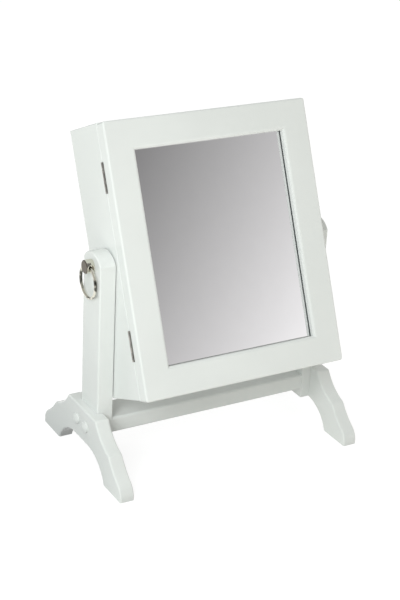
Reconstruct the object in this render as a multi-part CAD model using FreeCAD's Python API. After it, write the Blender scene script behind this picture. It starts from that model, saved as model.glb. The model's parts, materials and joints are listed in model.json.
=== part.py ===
import FreeCAD, Part
import math
import os
from FreeCAD import Placement, Rotation, Vector

# A table-top jewellery cabinet with a mirrored door. It tilts between two posts on scrolled legs.
# Millimetres. X to the right, Y from the front to the back, Z up. The origin is on the floor in the
# middle between the legs. The front faces -Y.
# The cabinet and its door are drawn upright with their origin on the tilt axis, then leaned back.

# Stance
lean_angle = 23.8
swing_clearance = 21.8
side_gap = 0.8

# Cabinet box
cabinet_width = 240.0
cabinet_height = 285.2
cabinet_depth = 67.4
pivot_from_base = 143.6
pivot_from_back = 43.2
panel_thickness = 12.0
panel_edge = 0.9
back_thickness = 3.0
back_rebate = 6.0
lining_thickness = 1.5
dowel_radius = 3.0
dowel_length = 24.0
dowel_depth = 8.0
dowel_inset = 16.0

# Fittings inside the cabinet
board_thickness = 6.0
shelf_height = 84.0
shelf_setback = 6.5
groove_depth = 3.0
lip_height = 16.0
divider_height = 34.0
bottom_lip_height = 30.0
bottom_divider_height = 45.0
roll_count = 4
roll_gap = 0.5
roll_draw = 2.2
roll_stations = 9
rail_end_gap = 8.0
rail_height = 18.0
rail_thickness = 12.0
hook_count = 6
hook_pitch = 34.0
hook_wire = 1.0
hook_stem = 5.0
hook_embed = 8.0
hook_bend = 4.0
hook_bowl = 5.0
hook_tip = 2.0
hook_ball = 1.7

# Door
door_thickness = 15.0
door_gap = 0.5
door_drop = 1.4
door_top_drop = 0.2
door_corner = 3.0
door_edge = 2.2
door_back_edge = 0.9
frame_width = 31.9
opening_edge = 3.5
mirror_recess = 6.9
rebate_width = 7.0
glass_thickness = 3.0
glass_clearance = 1.0
clip_length = 14.0
clip_width = 9.0
clip_thickness = 0.8
clip_stile_inset = 59.0
clip_rail_inset = 70.0

# Butt hinges
lower_hinge_rise = 56.7
upper_hinge_drop = 55.8
hinge_length = 32.0
hinge_inset = 0.4
knuckle_count = 5
knuckle_radius = 2.0
knuckle_gap = 0.2
pin_radius = 1.0
leaf_width = 10.4
leaf_thickness = 0.9
leaf_gap = 0.2
leaf_screw_spread = 19.0

# Small screws of the hinges, clips, catch and strike plate
screw_head = 2.0
screw_shank = 1.1
screw_length = 8.0

# Magnetic catch and strike plate
catch_rise = 31.5
catch_length = 30.0
catch_flange = 50.0
catch_flange_thickness = 2.5
catch_width = 11.0
catch_depth = 14.0
catch_gap = 0.2
magnet_length = 24.0
magnet_width = 6.0
magnet_depth = 9.0
magnet_proud = 0.6
strike_thickness = 1.2

# Posts
post_thickness = 17.7
post_depth = 39.7
post_edge = 1.6
post_inner_edge = 0.6
spring_lift = 4.6
spring_round = 3.0
crown_rise = 10.4
post_end_gap = 1.0

# Legs
leg_thickness = 16.2
leg_length = 192.2
leg_height = 64.6
leg_flat = 68.0
leg_edge = 1.8
housing_depth = 7.0
shoulder_setback = 29.5
shoulder_height = 39.5
shoulder_hollow = 4.1
shoulder_round = 9.0
crown_round = 2.8
toe_length = 8.5
ankle_height = 18.6
ankle_hollow = 1.4
toe_height = 4.0
toe_bulge = 2.2
foot_length = 40.5
arch_rise = 26.2
arch_flat = 32.0

# Stretcher and its bolts
stretcher_depth = 38.0
stretcher_thickness = 18.0
stretcher_height = 37.4
stretcher_edge = 2.4
bolt_spacing = 21.4
bolt_radius = 3.0
bolt_grip = 30.0
bolt_head_radius = 4.6
bolt_head_height = 4.0
cap_radius = 6.2
cap_rim = 1.8
cap_dome = 1.8
cap_plug = 2.4

# Pivot knob, ring, button and tee nuts
boss_radius = 7.3
boss_length = 8.8
boss_edge = 1.0
ring_hole = 3.1
ring_hole_edge = 0.5
ring_offset = 3.9
ring_radius = 17.5
ring_wire = 1.6
ring_joint = 0.5
ring_joint_angle = 46.0
button_radius = 7.0
button_rim = 0.9
button_dome = 1.7
stud_radius = 3.0
stud_tip_gap = 1.0
washer_radius = 8.0
nut_barrel_radius = 4.2
nut_flange_radius = 8.0
nut_flange_thickness = 1.2
nut_wall = 1.5

# Clearances
fit = 0.05
seat_gap = 0.3
reach = 1.0

# Planes of the upright cabinet and door
half_width = cabinet_width / 2
inner_x = half_width - panel_thickness
back_y = pivot_from_back
front_y = back_y - cabinet_depth
lining_y = back_y - back_thickness
inner_back_y = lining_y - lining_thickness
base_z = -pivot_from_base
top_z = base_z + cabinet_height
floor_z = base_z + panel_thickness
ceiling_z = top_z - panel_thickness
shelf_z = floor_z + shelf_height
shelf_front_y = front_y + shelf_setback
shelf_back_y = shelf_front_y + board_thickness
door_back_y = front_y - door_gap
door_front_y = door_back_y - door_thickness
door_base_z = base_z - door_drop
door_top_z = top_z - door_top_drop
door_height = door_top_z - door_base_z
door_middle_z = (door_base_z + door_top_z) / 2
rebate_y = door_front_y + mirror_recess
hinge_x = -half_width + hinge_inset
hinge_y = (front_y + door_back_y) / 2
leaf_start = knuckle_radius + seat_gap
catch_x = inner_x - catch_width / 2
catch_z = base_z + cabinet_height / 2 + catch_rise
magnet_face_y = door_back_y + strike_thickness + catch_gap

# Height of the tilt axis, at which the cabinet's lower corners swing clear of the stretcher
back_corner_swing = math.hypot(back_y, base_z)
door_corner_swing = math.hypot(door_front_y, door_base_z)
pivot_height = stretcher_height + stretcher_thickness + max(back_corner_swing, door_corner_swing) + swing_clearance

# Planes of the right-hand half of the stand
post_inner_x = half_width + side_gap
post_outer_x = post_inner_x + post_thickness
post_bottom = arch_rise + post_end_gap
leg_inner_x = post_outer_x - housing_depth
leg_outer_x = leg_inner_x + leg_thickness
bolt_height = stretcher_height + stretcher_thickness / 2
bolt_seat_x = leg_outer_x - cap_plug - bolt_head_height
boss_x = post_outer_x + 2 * fit
ring_x = boss_x + ring_offset
stud_end_x = inner_x + stud_tip_gap

X = Vector(1, 0, 0)
Y = Vector(0, 1, 0)
Z = Vector(0, 0, 1)


def block(x, y, z):
    """Box between two limits along each axis."""
    size = [limits[1] - limits[0] for limits in (x, y, z)]
    return Part.makeBox(*size, Vector(x[0], y[0], z[0]))


def rod(radius, start, end):
    """Cylinder from one point to another."""
    along = end - start
    return Part.makeCylinder(radius, along.Length, start, along)


def tube(outer, inner, start, end):
    return rod(outer, start, end).cut(rod(inner, start, end))


def edges_in_plane(shape, axis, place):
    """Edges that lie wholly in the plane square to an axis name at the given place."""
    found = []
    for edge in shape.Edges:
        limits = edge.BoundBox
        low = getattr(limits, axis + "Min")
        high = getattr(limits, axis + "Max")
        if abs(low - place) < fit and abs(high - place) < fit:
            found.append(edge)
    return found


def edges_along(shape, axis):
    """Straight edges that run along an axis vector."""
    found = []
    for edge in shape.Edges:
        if isinstance(edge.Curve, Part.Line) and abs(edge.Curve.Direction.dot(axis)) > 0.999:
            found.append(edge)
    return found


def rounded_block(x, y, z, radius, faces):
    """Box whose edges round the named faces are rounded, such as faces=(("X", place),)."""
    shape = block(x, y, z)
    picked = {}
    for axis, place in faces:
        for edge in edges_in_plane(shape, axis, place):
            picked[edge.hashCode()] = edge
    return shape.makeFillet(radius, list(picked.values()))


def screw(point, direction, ease=0.0):
    """Countersunk screw with its head's face at the point. With ease it is the hole for one."""
    head = screw_head + ease
    shank = screw_shank + ease
    taper = head - shank
    cone = Part.makeCone(head, shank, taper, point, direction)
    body = Part.makeCylinder(shank, screw_length + ease, point, direction)
    return cone.fuse(body).removeSplitter()


def screws(places, direction):
    return Part.makeCompound([screw(place, direction) for place in places])


def screw_holes(places, direction):
    return [screw(place, direction, fit) for place in places]


def leaned(shape):
    """Carry a piece of the upright cabinet to its place on the tilt axis, top leaning back."""
    moved = shape.copy()
    moved.Placement = Placement(Vector(0, 0, pivot_height), Rotation(X, -lean_angle)) * moved.Placement
    return moved


def other_side(shape):
    """The same piece at the left of the stand, turned half round the vertical axis."""
    turned = shape.copy()
    turned.rotate(Vector(0, 0, 0), Z, 180)
    return turned


def bowed(start, end, bow):
    """Arc whose middle is bowed from its chord, inwards for a hollow and outwards for a bulge."""
    middle = (start + end) * 0.5
    inward = (end - start).cross(X).normalize()
    if inward.dot(middle) > 0:
        inward = inward * -1
    return Part.Arc(start, middle + inward * bow, end).toShape()


def arch_arc(crown, foot):
    """Arc that leaves the level crown of an arch smoothly and comes down to its foot."""
    chord = foot - crown
    radius = chord.Length ** 2 / (-2 * chord.z)
    turn = math.asin(min(1.0, abs(chord.y) / radius)) / 2
    middle = crown + Vector(0, math.copysign(radius * math.sin(turn), chord.y), radius * (math.cos(turn) - 1))
    return Part.Arc(crown, middle, foot).toShape()


def bolt_places():
    return [Vector(0, side * bolt_spacing / 2, bolt_height) for side in (-1, 1)]


def bolt_holes(x_start, x_end, radius):
    return [rod(radius, place + X * x_start, place + X * x_end) for place in bolt_places()]


def leg():
    """Scrolled leg: two hollows and a rounded toe at each end, with an arch between the feet."""
    half_length = leg_length / 2
    arch_half = half_length - foot_length

    def at(y, z):
        return Vector(leg_inner_x, y, z)

    edges = [Part.makeLine(at(-leg_flat / 2, leg_height), at(leg_flat / 2, leg_height))]
    for side in (-1, 1):
        crown = at(side * leg_flat / 2, leg_height)
        shoulder = at(side * (half_length - shoulder_setback), shoulder_height)
        ankle = at(side * (half_length - toe_length), ankle_height)
        toe = at(side * half_length, toe_height)
        toe_foot = at(side * half_length, 0)
        arch_foot = at(side * arch_half, 0)
        edges.append(bowed(crown, shoulder, shoulder_hollow))
        edges.append(bowed(shoulder, ankle, ankle_hollow))
        edges.append(bowed(ankle, toe, -toe_bulge))
        edges.append(Part.makeLine(toe, toe_foot))
        edges.append(Part.makeLine(toe_foot, arch_foot))
        edges.append(arch_arc(at(side * arch_flat / 2, arch_rise), arch_foot))
    edges.append(Part.makeLine(at(-arch_flat / 2, arch_rise), at(arch_flat / 2, arch_rise)))
    outline = Part.Wire(Part.__sortEdges__(edges))
    shape = Part.Face(outline).extrude(X * leg_thickness)

    for radius, height in ((crown_round, leg_height), (shoulder_round, shoulder_height)):
        level = [edge for edge in edges_along(shape, X) if abs(edge.CenterOfMass.z - height) < fit]
        shape = shape.makeFillet(radius, level)
    rims = edges_in_plane(shape, "X", leg_inner_x) + edges_in_plane(shape, "X", leg_outer_x)
    shape = shape.makeFillet(leg_edge, [edge for edge in rims if edge.BoundBox.ZMax > fit])

    half_post = post_depth / 2
    housing = block((leg_inner_x - reach, leg_inner_x + housing_depth), (-half_post, half_post),
                    (0, leg_height + reach))
    through = bolt_holes(leg_inner_x, leg_outer_x, bolt_radius + fit)
    counterbores = bolt_holes(bolt_seat_x, leg_outer_x + reach, bolt_head_radius + fit)
    return shape.cut([housing] + through + counterbores)


def post():
    """Round-topped post, bored for the pivot stud and the two bolts at its foot."""
    half = post_depth / 2
    spring = pivot_height + spring_lift

    def at(y, z):
        return Vector(post_inner_x, y, z)

    edges = [
        Part.makeLine(at(-half, spring), at(-half, post_bottom)),
        Part.makeLine(at(-half, post_bottom), at(half, post_bottom)),
        Part.makeLine(at(half, post_bottom), at(half, spring)),
        Part.Arc(at(half, spring), at(0, spring + crown_rise), at(-half, spring)).toShape(),
    ]
    shape = Part.Face(Part.Wire(edges)).extrude(X * post_thickness)
    springs = [edge for edge in edges_along(shape, X) if abs(edge.CenterOfMass.z - spring) < fit]
    shape = shape.makeFillet(spring_round, springs)
    for radius, place in ((post_inner_edge, post_inner_x), (post_edge, post_outer_x)):
        rim = [edge for edge in edges_in_plane(shape, "X", place) if edge.BoundBox.ZMax > post_bottom + fit]
        shape = shape.makeFillet(radius, rim)
    pivot = Vector(0, 0, pivot_height)
    bore = rod(stud_radius + fit, pivot + X * post_inner_x, pivot + X * post_outer_x)
    return shape.cut([bore] + bolt_holes(post_inner_x, post_outer_x, bolt_radius + fit))


def stretcher():
    """Flat board between the posts, bored in both ends for the bolts."""
    half_depth = stretcher_depth / 2
    shape = block((-post_inner_x, post_inner_x), (-half_depth, half_depth),
                  (stretcher_height, stretcher_height + stretcher_thickness))
    shape = shape.makeFillet(stretcher_edge, edges_along(shape, X))
    holes = bolt_holes(post_inner_x - bolt_grip - fit, post_inner_x, bolt_radius + fit)
    return shape.cut(holes + [other_side(hole) for hole in holes])


def bolt(place):
    head = rod(bolt_head_radius, place + X * bolt_seat_x, place + X * (leg_outer_x - cap_plug))
    shank = rod(bolt_radius, place + X * (post_inner_x - bolt_grip), place + X * bolt_seat_x)
    return head.fuse(shank).removeSplitter()


def domed_disc(radius, rim, dome):
    """Disc with a straight rim and a low domed face, standing on the plane x = 0."""
    edge = Vector(rim, 0, radius)
    top = Vector(rim + dome, 0, 0)
    bulge = (radius ** 2 + dome ** 2) / (2 * dome)
    angle = math.atan2(radius, bulge - dome) / 2
    middle = top + Vector(bulge * (math.cos(angle) - 1), 0, bulge * math.sin(angle))
    outline = Part.Wire([
        Part.makeLine(Vector(0, 0, 0), Vector(0, 0, radius)),
        Part.makeLine(Vector(0, 0, radius), edge),
        Part.Arc(edge, middle, top).toShape(),
        Part.makeLine(top, Vector(0, 0, 0)),
    ])
    return Part.Face(outline).revolve(Vector(0, 0, 0), X, 360)


def bolt_cap(place):
    """Low domed cap on the leg's face with a plug that fills the mouth of the counterbore."""
    plug = rod(bolt_head_radius, X * -cap_plug, Vector(0, 0, 0))
    shape = domed_disc(cap_radius, cap_rim, cap_dome).fuse(plug).removeSplitter()
    shape.translate(place + X * leg_outer_x)
    return shape


def on_both_sides(make):
    """Every copy of a bolt piece, two at each end of the stretcher."""
    right = [make(place) for place in bolt_places()]
    return Part.makeCompound(right + [other_side(shape) for shape in right])


def pivot_stud():
    """Stud at the right that passes the post and enters the tee nut."""
    centre = Vector(0, 0, pivot_height)
    return rod(stud_radius, centre + X * stud_end_x, centre + X * boss_x)


def pivot_knob():
    """Cross-drilled boss on its stud."""
    centre = Vector(0, 0, pivot_height)
    boss = rod(boss_radius, centre + X * boss_x, centre + X * (boss_x + boss_length))
    boss = boss.makeFillet(boss_edge, edges_in_plane(boss, "X", boss_x + boss_length))
    hole_centre = centre + X * ring_x
    hole = rod(ring_hole, hole_centre - Y * (boss_radius + reach), hole_centre + Y * (boss_radius + reach))
    boss = boss.cut(hole)
    mouths = [edge for edge in boss.Edges
              if edge.BoundBox.YLength < boss_radius and edge.BoundBox.XLength > ring_hole
              and edge.BoundBox.XLength < boss_length - boss_edge and edge.BoundBox.ZLength > ring_hole]
    boss = boss.makeFillet(ring_hole_edge, mouths)
    return boss.fuse(pivot_stud()).removeSplitter()


def pivot_button():
    """Low domed head on its stud."""
    head = domed_disc(button_radius, button_rim, button_dome)
    head.translate(Vector(boss_x, 0, pivot_height))
    return head.fuse(pivot_stud()).removeSplitter()


def ring():
    """Wire ring, cut through at its joint, that hangs on the two lower lips of the cross hole."""
    sag = ring_radius - math.sqrt(ring_radius ** 2 - boss_radius ** 2)
    lift = sag - (ring_hole - ring_wire - seat_gap)
    centre = Vector(ring_x, 0, pivot_height - ring_radius + lift)
    wire = Part.makeTorus(ring_radius, ring_wire, centre, X)
    half = 2 * ring_wire
    joint = block((ring_x - half, ring_x + half), (ring_radius - half, ring_radius + half),
                  (-ring_joint / 2, ring_joint / 2))
    joint.rotate(Vector(0, 0, 0), X, ring_joint_angle)
    joint.translate(Vector(0, centre.y, centre.z))
    return wire.cut(joint)


def washer(side):
    """Spacer between the cabinet side and the post."""
    inner = X * side * half_width
    outer = X * side * (post_inner_x - seat_gap)
    return tube(washer_radius, stud_radius + seat_gap, inner, outer)


def tee_nut(side):
    """Flanged nut let into the cabinet side from within."""
    flange_x = inner_x - nut_flange_thickness
    barrel_x = half_width - nut_wall
    flange = rod(nut_flange_radius, X * side * flange_x, X * side * inner_x)
    barrel = rod(nut_barrel_radius, X * side * flange_x, X * side * barrel_x)
    bore = rod(stud_radius + fit, X * side * flange_x, X * side * barrel_x)
    return flange.fuse(barrel).removeSplitter().cut(bore)


def tee_nut_hole(side):
    barrel = rod(nut_barrel_radius + fit, X * side * inner_x, X * side * (half_width - nut_wall))
    stud = rod(stud_radius + seat_gap, X * side * inner_x, X * side * half_width)
    return barrel.fuse(stud)


def back_recess():
    """Space for the back panel in the rear edges of the four outer panels."""
    wide = inner_x + back_rebate
    return block((-wide, wide), (lining_y, back_y + reach), (floor_z - back_rebate, ceiling_z + back_rebate))


def dowel_places():
    places = []
    for height in (base_z + panel_thickness / 2, top_z - panel_thickness / 2):
        for depth in (front_y + dowel_inset, back_y - dowel_inset):
            places.append(Vector(0, depth, height))
    return places


def dowels(ease=0.0):
    """Dowels across the four corner joints. With ease they are their holes."""
    made = []
    for place in dowel_places():
        for side in (-1, 1):
            start = place + X * side * (inner_x + dowel_depth + ease)
            end = place + X * side * (inner_x + dowel_depth - dowel_length - ease)
            made.append(rod(dowel_radius + ease, start, end))
    return made


def shelf_grooves():
    wide = inner_x + groove_depth
    return block((-wide, wide), (shelf_front_y, lining_y), (shelf_z - board_thickness, shelf_z))


def hinge_heights():
    return (base_z + lower_hinge_rise, top_z - upper_hinge_drop)


def leaf_plane(side):
    """Near and far face of a leaf: side 1 lies on the cabinet and side -1 on the door."""
    near = hinge_y + side * leaf_gap / 2
    return near, near + side * leaf_thickness


def hinge_mortises(side):
    """Recess for each leaf and a round relief for its knuckles."""
    cuts = []
    far = leaf_plane(side)[1]
    half = hinge_length / 2 + fit
    for height in hinge_heights():
        leaf = block((-half_width - reach, hinge_x + leaf_width + fit), sorted((hinge_y, far)),
                     (height - half, height + half))
        axis = Vector(hinge_x, hinge_y, height)
        relief = rod(knuckle_radius + seat_gap, axis - Z * half, axis + Z * half)
        cuts += [leaf, relief]
    return cuts


def leaf_screw_places(side):
    near = leaf_plane(side)[0]
    middle = hinge_x + (leaf_start + leaf_width) / 2
    places = []
    for height in hinge_heights():
        for step in (-0.5, 0.5):
            places.append(Vector(middle, near, height + step * leaf_screw_spread))
    return places


def hinge_leaf(height, side):
    """Leaf with its share of the knuckles: the cabinet's leaf has the outer ones."""
    near, far = leaf_plane(side)
    plate = block((hinge_x + leaf_start, hinge_x + leaf_width), sorted((near, far)),
                  (height - hinge_length / 2, height + hinge_length / 2))
    pitch = hinge_length / knuckle_count
    first = 0 if side > 0 else 1
    knuckles = []
    for index in range(first, knuckle_count, 2):
        low = height - hinge_length / 2 + index * pitch + knuckle_gap / 2
        high = low + pitch - knuckle_gap
        knuckles.append(rod(knuckle_radius, Vector(hinge_x, hinge_y, low), Vector(hinge_x, hinge_y, high)))
        knuckles.append(block((hinge_x, hinge_x + leaf_start), sorted((near, far)), (low, high)))
    axis = Vector(hinge_x, hinge_y, height)
    bore = rod(pin_radius + fit, axis - Z * hinge_length, axis + Z * hinge_length)
    holes = screw_holes(leaf_screw_places(side), Y * side)
    return plate.fuse(knuckles).removeSplitter().cut([bore] + holes)


def hinge_pin(height):
    axis = Vector(hinge_x, hinge_y, height)
    half = hinge_length / 2
    return rod(pin_radius, axis - Z * half, axis + Z * half)


def side_panel(side):
    """Outer side of the box, with its grooves, rebate, nut hole and, at the left, hinge mortises."""
    outer = side * half_width
    shape = rounded_block(sorted((outer, side * inner_x)), (front_y, back_y), (base_z, top_z),
                          panel_edge, [("X", outer)])
    cuts = [back_recess(), shelf_grooves(), tee_nut_hole(side)] + dowels(fit)
    if side < 0:
        cuts += hinge_mortises(1) + screw_holes(leaf_screw_places(1), Y)
    else:
        cuts += screw_holes(catch_screw_places(), X)
    return shape.cut(cuts)


def end_panel(outer, inner):
    """Top or bottom of the box, held between the sides."""
    shape = rounded_block((-inner_x, inner_x), (front_y, back_y), sorted((outer, inner)), panel_edge,
                          [("Z", outer)])
    return shape.cut([back_recess()] + dowels(fit))


def back_panel():
    wide = inner_x + back_rebate - fit
    return block((-wide, wide), (lining_y, back_y), (floor_z - back_rebate + fit, ceiling_z + back_rebate - fit))


def back_lining(low, high):
    wide = inner_x - fit
    return block((-wide, wide), (inner_back_y, lining_y), (low + fit, high - fit))


def shelf():
    wide = inner_x + groove_depth - fit
    return block((-wide, wide), (shelf_front_y + fit, lining_y - fit), (shelf_z - board_thickness, shelf_z))


def front_lip(low, height):
    """Low rail along the front of a compartment, with a softened upper edge."""
    shape = block((-inner_x, inner_x), (shelf_front_y + fit, shelf_back_y), (low, low + height))
    upper = [edge for edge in edges_in_plane(shape, "Z", low + height) if edge.BoundBox.XLength > board_thickness]
    return shape.makeFillet(board_thickness / 3, upper)


def divider(low, height):
    """Upright board behind a lip, rounded at its upper front corner."""
    half = board_thickness / 2
    shape = block((-half, half), (shelf_back_y, inner_back_y), (low, low + height))
    corner = [edge for edge in edges_along(shape, X)
              if edge.CenterOfMass.z > low + height - fit and edge.CenterOfMass.y < shelf_back_y + fit]
    return shape.makeFillet(height / 3, corner)


def ring_roll(index):
    """Stuffed roll, full along its middle and drawn in towards both ends."""
    room = inner_back_y - shelf_back_y
    pitch = (room - roll_gap) / roll_count
    radius = (pitch - roll_gap) / 2
    middle = Vector(0, shelf_back_y + roll_gap + radius + index * pitch, shelf_z + seat_gap + radius)
    left = -inner_x + roll_gap
    right = -board_thickness / 2 - roll_gap
    sections = []
    for station in range(roll_stations):
        along = 2 * station / (roll_stations - 1) - 1
        drawn_in = roll_draw * along ** 6
        centre = middle + X * ((left + right) / 2 + along * (right - left) / 2)
        sections.append(Part.Wire(quarter_arcs(centre, radius - drawn_in)))
    return Part.makeLoft(sections, True, True)


def quarter_arcs(centre, radius):
    """Circle square to X as four arcs."""
    arcs = []
    for quarter in range(4):
        points = []
        for step in range(3):
            angle = math.radians(90 * quarter + 45 * step)
            points.append(centre + Vector(0, radius * math.cos(angle), radius * math.sin(angle)))
        arcs.append(Part.Arc(*points).toShape())
    return arcs


def rail_planes():
    """Front face and middle height of the necklace rail."""
    return inner_back_y - rail_thickness, ceiling_z - rail_height / 2


def hook_places():
    rail_front, middle = rail_planes()
    first = -(hook_count - 1) / 2
    return [Vector((first + index) * hook_pitch, rail_front, middle) for index in range(hook_count)]


def necklace_rail():
    rail_front, middle = rail_planes()
    shape = block((rail_end_gap - inner_x, inner_x - rail_end_gap), (rail_front, inner_back_y),
                  (ceiling_z - rail_height, ceiling_z))
    lower = [edge for edge in edges_in_plane(shape, "Y", rail_front)
             if edge.CenterOfMass.z < ceiling_z - rail_height + fit]
    shape = shape.makeFillet(rail_height / 6, lower)
    return shape.cut([rod(hook_wire + fit, place, place + Y * (hook_embed + fit)) for place in hook_places()])


def hook(place):
    """Cup hook: a stem out of the rail, a bend down and an open bowl with a ball at its tip."""
    def at(forward, up):
        return place + Vector(0, -forward, up)

    slant = math.sqrt(0.5)
    bend_end = hook_stem + hook_bend
    bowl_end = bend_end + 2 * hook_bowl
    start = at(-hook_embed, 0)
    path = Part.Wire([
        Part.makeLine(start, at(hook_stem, 0)),
        Part.Arc(at(hook_stem, 0), at(hook_stem + hook_bend * slant, hook_bend * (slant - 1)),
                 at(bend_end, -hook_bend)).toShape(),
        Part.Arc(at(bend_end, -hook_bend), at(bend_end + hook_bowl, -hook_bend - hook_bowl),
                 at(bowl_end, -hook_bend)).toShape(),
        Part.makeLine(at(bowl_end, -hook_bend), at(bowl_end, -hook_bend + hook_tip)),
    ])
    section = Part.Wire(Part.makeCircle(hook_wire, start, Y))
    wire = path.makePipeShell([section], True, False)
    ball = Part.makeSphere(hook_ball, at(bowl_end, -hook_bend + hook_tip))
    return wire.fuse(ball).removeSplitter()


def catch_screw_places():
    face = inner_x - catch_flange_thickness
    middle = (catch_length + catch_flange) / 4
    depth = magnet_face_y + magnet_proud + catch_depth / 2
    return [Vector(face, depth, catch_z + step * middle) for step in (-1, 1)]


def magnet(ease=0.0):
    half_wide = magnet_width / 2 + ease
    half_long = magnet_length / 2 + ease
    return block((catch_x - half_wide, catch_x + half_wide), (magnet_face_y, magnet_face_y + magnet_depth + ease),
                 (catch_z - half_long, catch_z + half_long))


def catch_case():
    """Case with a flange at each end and a pocket for the magnet."""
    front = magnet_face_y + magnet_proud
    depth = (front, front + catch_depth)
    case = block((inner_x - catch_width, inner_x), depth,
                 (catch_z - catch_length / 2, catch_z + catch_length / 2))
    case = case.makeFillet(panel_edge, edges_in_plane(case, "X", inner_x - catch_width))
    flange = block((inner_x - catch_flange_thickness, inner_x), depth,
                   (catch_z - catch_flange / 2, catch_z + catch_flange / 2))
    shape = case.fuse(flange).removeSplitter()
    return shape.cut([magnet(fit)] + screw_holes(catch_screw_places(), X))


def strike_screw_place():
    return Vector(catch_x, door_back_y + strike_thickness, catch_z)


def strike_plate():
    half_long = catch_length / 2
    shape = block((inner_x - catch_width, inner_x), (door_back_y, door_back_y + strike_thickness),
                  (catch_z - half_long, catch_z + half_long))
    shape = shape.makeFillet(panel_edge, edges_along(shape, Y))
    return shape.cut(screw(strike_screw_place(), -Y, fit))


def clip_places():
    """Centre of each clip and the way it points, from the frame to the backing."""
    half_height = door_height / 2
    side_x = half_width - frame_width + rebate_width
    side_z = half_height - frame_width + rebate_width
    places = []
    for side in (-1, 1):
        for end in (-1, 1):
            on_stile = Vector(side * side_x, 0, door_middle_z + end * (half_height - clip_stile_inset))
            on_rail = Vector(end * (half_width - clip_rail_inset), 0, door_middle_z + side * side_z)
            places.append((on_stile, X * -side))
            places.append((on_rail, Z * -side))
    return places


def clip_screw_places():
    return [Vector(place.x, door_back_y + clip_thickness, place.z) - inward * clip_length / 4
            for place, inward in clip_places()]


def clip(place, inward):
    """Flat clip that lies half on the frame and half on the backing."""
    across = Vector(abs(inward.z), 0, abs(inward.x))
    half = inward * (clip_length / 2) + across * (clip_width / 2)
    x = sorted((place.x - half.x, place.x + half.x))
    z = sorted((place.z - half.z, place.z + half.z))
    shape = block(x, (door_back_y, door_back_y + clip_thickness), z)
    return shape.makeFillet(clip_width / 4, edges_along(shape, Y))


def clips():
    holes = screw_holes(clip_screw_places(), -Y)
    return Part.makeCompound([clip(place, inward).cut(holes) for place, inward in clip_places()])


def door_frame():
    """Whole door frame: rounded outside, with a softened opening and a rebate behind its lip."""
    opening_x = half_width - frame_width
    opening_z = (door_base_z + frame_width, door_top_z - frame_width)
    shape = block((-half_width, half_width), (door_front_y, door_back_y), (door_base_z, door_top_z))
    shape = shape.makeFillet(door_corner, edges_along(shape, Y))
    shape = shape.makeFillet(door_edge, edges_in_plane(shape, "Y", door_front_y))
    shape = shape.makeFillet(door_back_edge, edges_in_plane(shape, "Y", door_back_y))
    shape = shape.cut(block((-opening_x, opening_x), (door_front_y - reach, door_back_y + reach), opening_z))
    inner_rim = [edge for edge in edges_in_plane(shape, "Y", door_front_y)
                 if abs(edge.CenterOfMass.x) < opening_x + fit
                 and opening_z[0] - fit < edge.CenterOfMass.z < opening_z[1] + fit]
    shape = shape.makeFillet(opening_edge, inner_rim)
    rebate_x = opening_x + rebate_width
    rebate = block((-rebate_x, rebate_x), (rebate_y, door_back_y + reach),
                   (opening_z[0] - rebate_width, opening_z[1] + rebate_width))
    return shape.cut(rebate)


def frame_members():
    """The four mitred members, as (name, shape) pairs."""
    frame = door_frame()
    cuts = (screw_holes(clip_screw_places(), -Y) + hinge_mortises(-1) + screw_holes(leaf_screw_places(-1), -Y)
            + [screw(strike_screw_place(), -Y, fit)])
    frame = frame.cut(cuts)
    half_height = door_height / 2
    reach_in = frame_width + reach
    thick = Y * (door_thickness + 2 * reach)

    def at(x, z):
        return Vector(x, door_front_y - reach, door_middle_z + z)

    members = []
    for name, side in (("door_left_stile", -1), ("door_right_stile", 1)):
        outer = side * half_width
        inner = side * (half_width - reach_in)
        corners = [at(outer, -half_height), at(outer, half_height),
                   at(inner, half_height - reach_in), at(inner, reach_in - half_height)]
        members.append((name, corners))
    for name, side in (("door_bottom_rail", -1), ("door_top_rail", 1)):
        outer = side * half_height
        inner = side * (half_height - reach_in)
        corners = [at(-half_width, outer), at(half_width, outer),
                   at(half_width - reach_in, inner), at(reach_in - half_width, inner)]
        members.append((name, corners))
    cut_members = []
    for name, corners in members:
        wedge = Part.Face(Part.makePolygon(corners + corners[:1])).extrude(thick)
        cut_members.append((name, frame.common(wedge)))
    return cut_members


def pane(near, far):
    """Sheet that fills the door's rebate between two depths."""
    wide = half_width - frame_width + rebate_width - glass_clearance
    tall = door_height / 2 - frame_width + rebate_width - glass_clearance
    return block((-wide, wide), (near, far), (door_middle_z - tall, door_middle_z + tall))


def stand_pieces():
    right_leg = leg()
    right_post = post()
    return {
        "left_leg": other_side(right_leg),
        "right_leg": right_leg,
        "left_post": other_side(right_post),
        "right_post": right_post,
        "stretcher": stretcher(),
        "stretcher_bolts": on_both_sides(bolt),
        "bolt_caps": on_both_sides(bolt_cap),
        "left_pivot_knob": other_side(pivot_knob()),
        "right_pivot_knob": pivot_button(),
        "left_ring": other_side(ring()),
    }


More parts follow.
